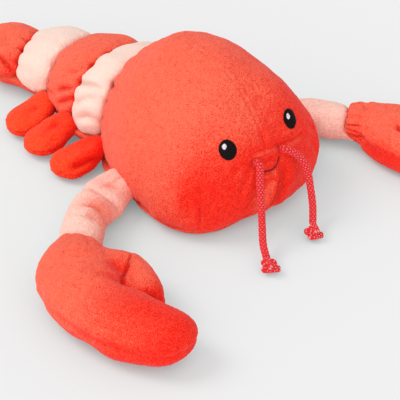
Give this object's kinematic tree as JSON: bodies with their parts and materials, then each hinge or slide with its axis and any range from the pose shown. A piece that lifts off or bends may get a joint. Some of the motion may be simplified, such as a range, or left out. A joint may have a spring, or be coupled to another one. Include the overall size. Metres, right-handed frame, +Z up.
{
  "type": "plush lobster",
  "caption": "Soft stuffed lobster lying on its belly: domed carapace, banded tail, paddle legs, clawed arms, stitched face and knotted cord antennae.",
  "frame": {"origin": "on the surface the toy lies on, at the middle of the flat belly below the carapace", "axes": "+Z up, -Y where the face looks, +X towards the lobster's own left side"},
  "size_m": [0.2582, 0.3301, 0.0764],
  "materials": {
    "red_plush": "short dense plush pile, coral red, paler where the pile catches the light",
    "leg_plush": "short dense plush pile, deep orange red",
    "pale_plush": "short dense plush pile, pale cream pink",
    "arm_plush": "short dense plush pile, pale salmon",
    "black_thread": "glossy black satin stitch",
    "white_thread": "white satin stitch",
    "mouth_thread": "dark red-brown stitched thread",
    "cord": "knitted red cord with a soft sheen"
  },
  "bodies": {
    "root": {"carapace": "red_plush", "belly_panel": "red_plush", "tail_band_pale_front": "pale_plush", "tail_band_red_front": "red_plush", "tail_band_pale_rear": "pale_plush", "tail_band_red_rear": "red_plush", "tail_fan": "red_plush", "leg_right_1": "leg_plush", "leg_right_2": "leg_plush", "leg_right_3": "leg_plush", "leg_left_1": "leg_plush", "leg_left_2": "leg_plush", "leg_left_3": "leg_plush", "arm_right": "arm_plush", "arm_left": "arm_plush", "claw_right": "red_plush", "claw_left": "red_plush", "eye_right": "black_thread", "eye_left": "black_thread", "eye_glint_right": "white_thread", "eye_glint_left": "white_thread", "mouth_stitch": "mouth_thread", "antenna_right": "cord", "antenna_left": "cord", "antenna_knot_right": "cord", "antenna_knot_left": "cord"}
  },
  "joints": []
}
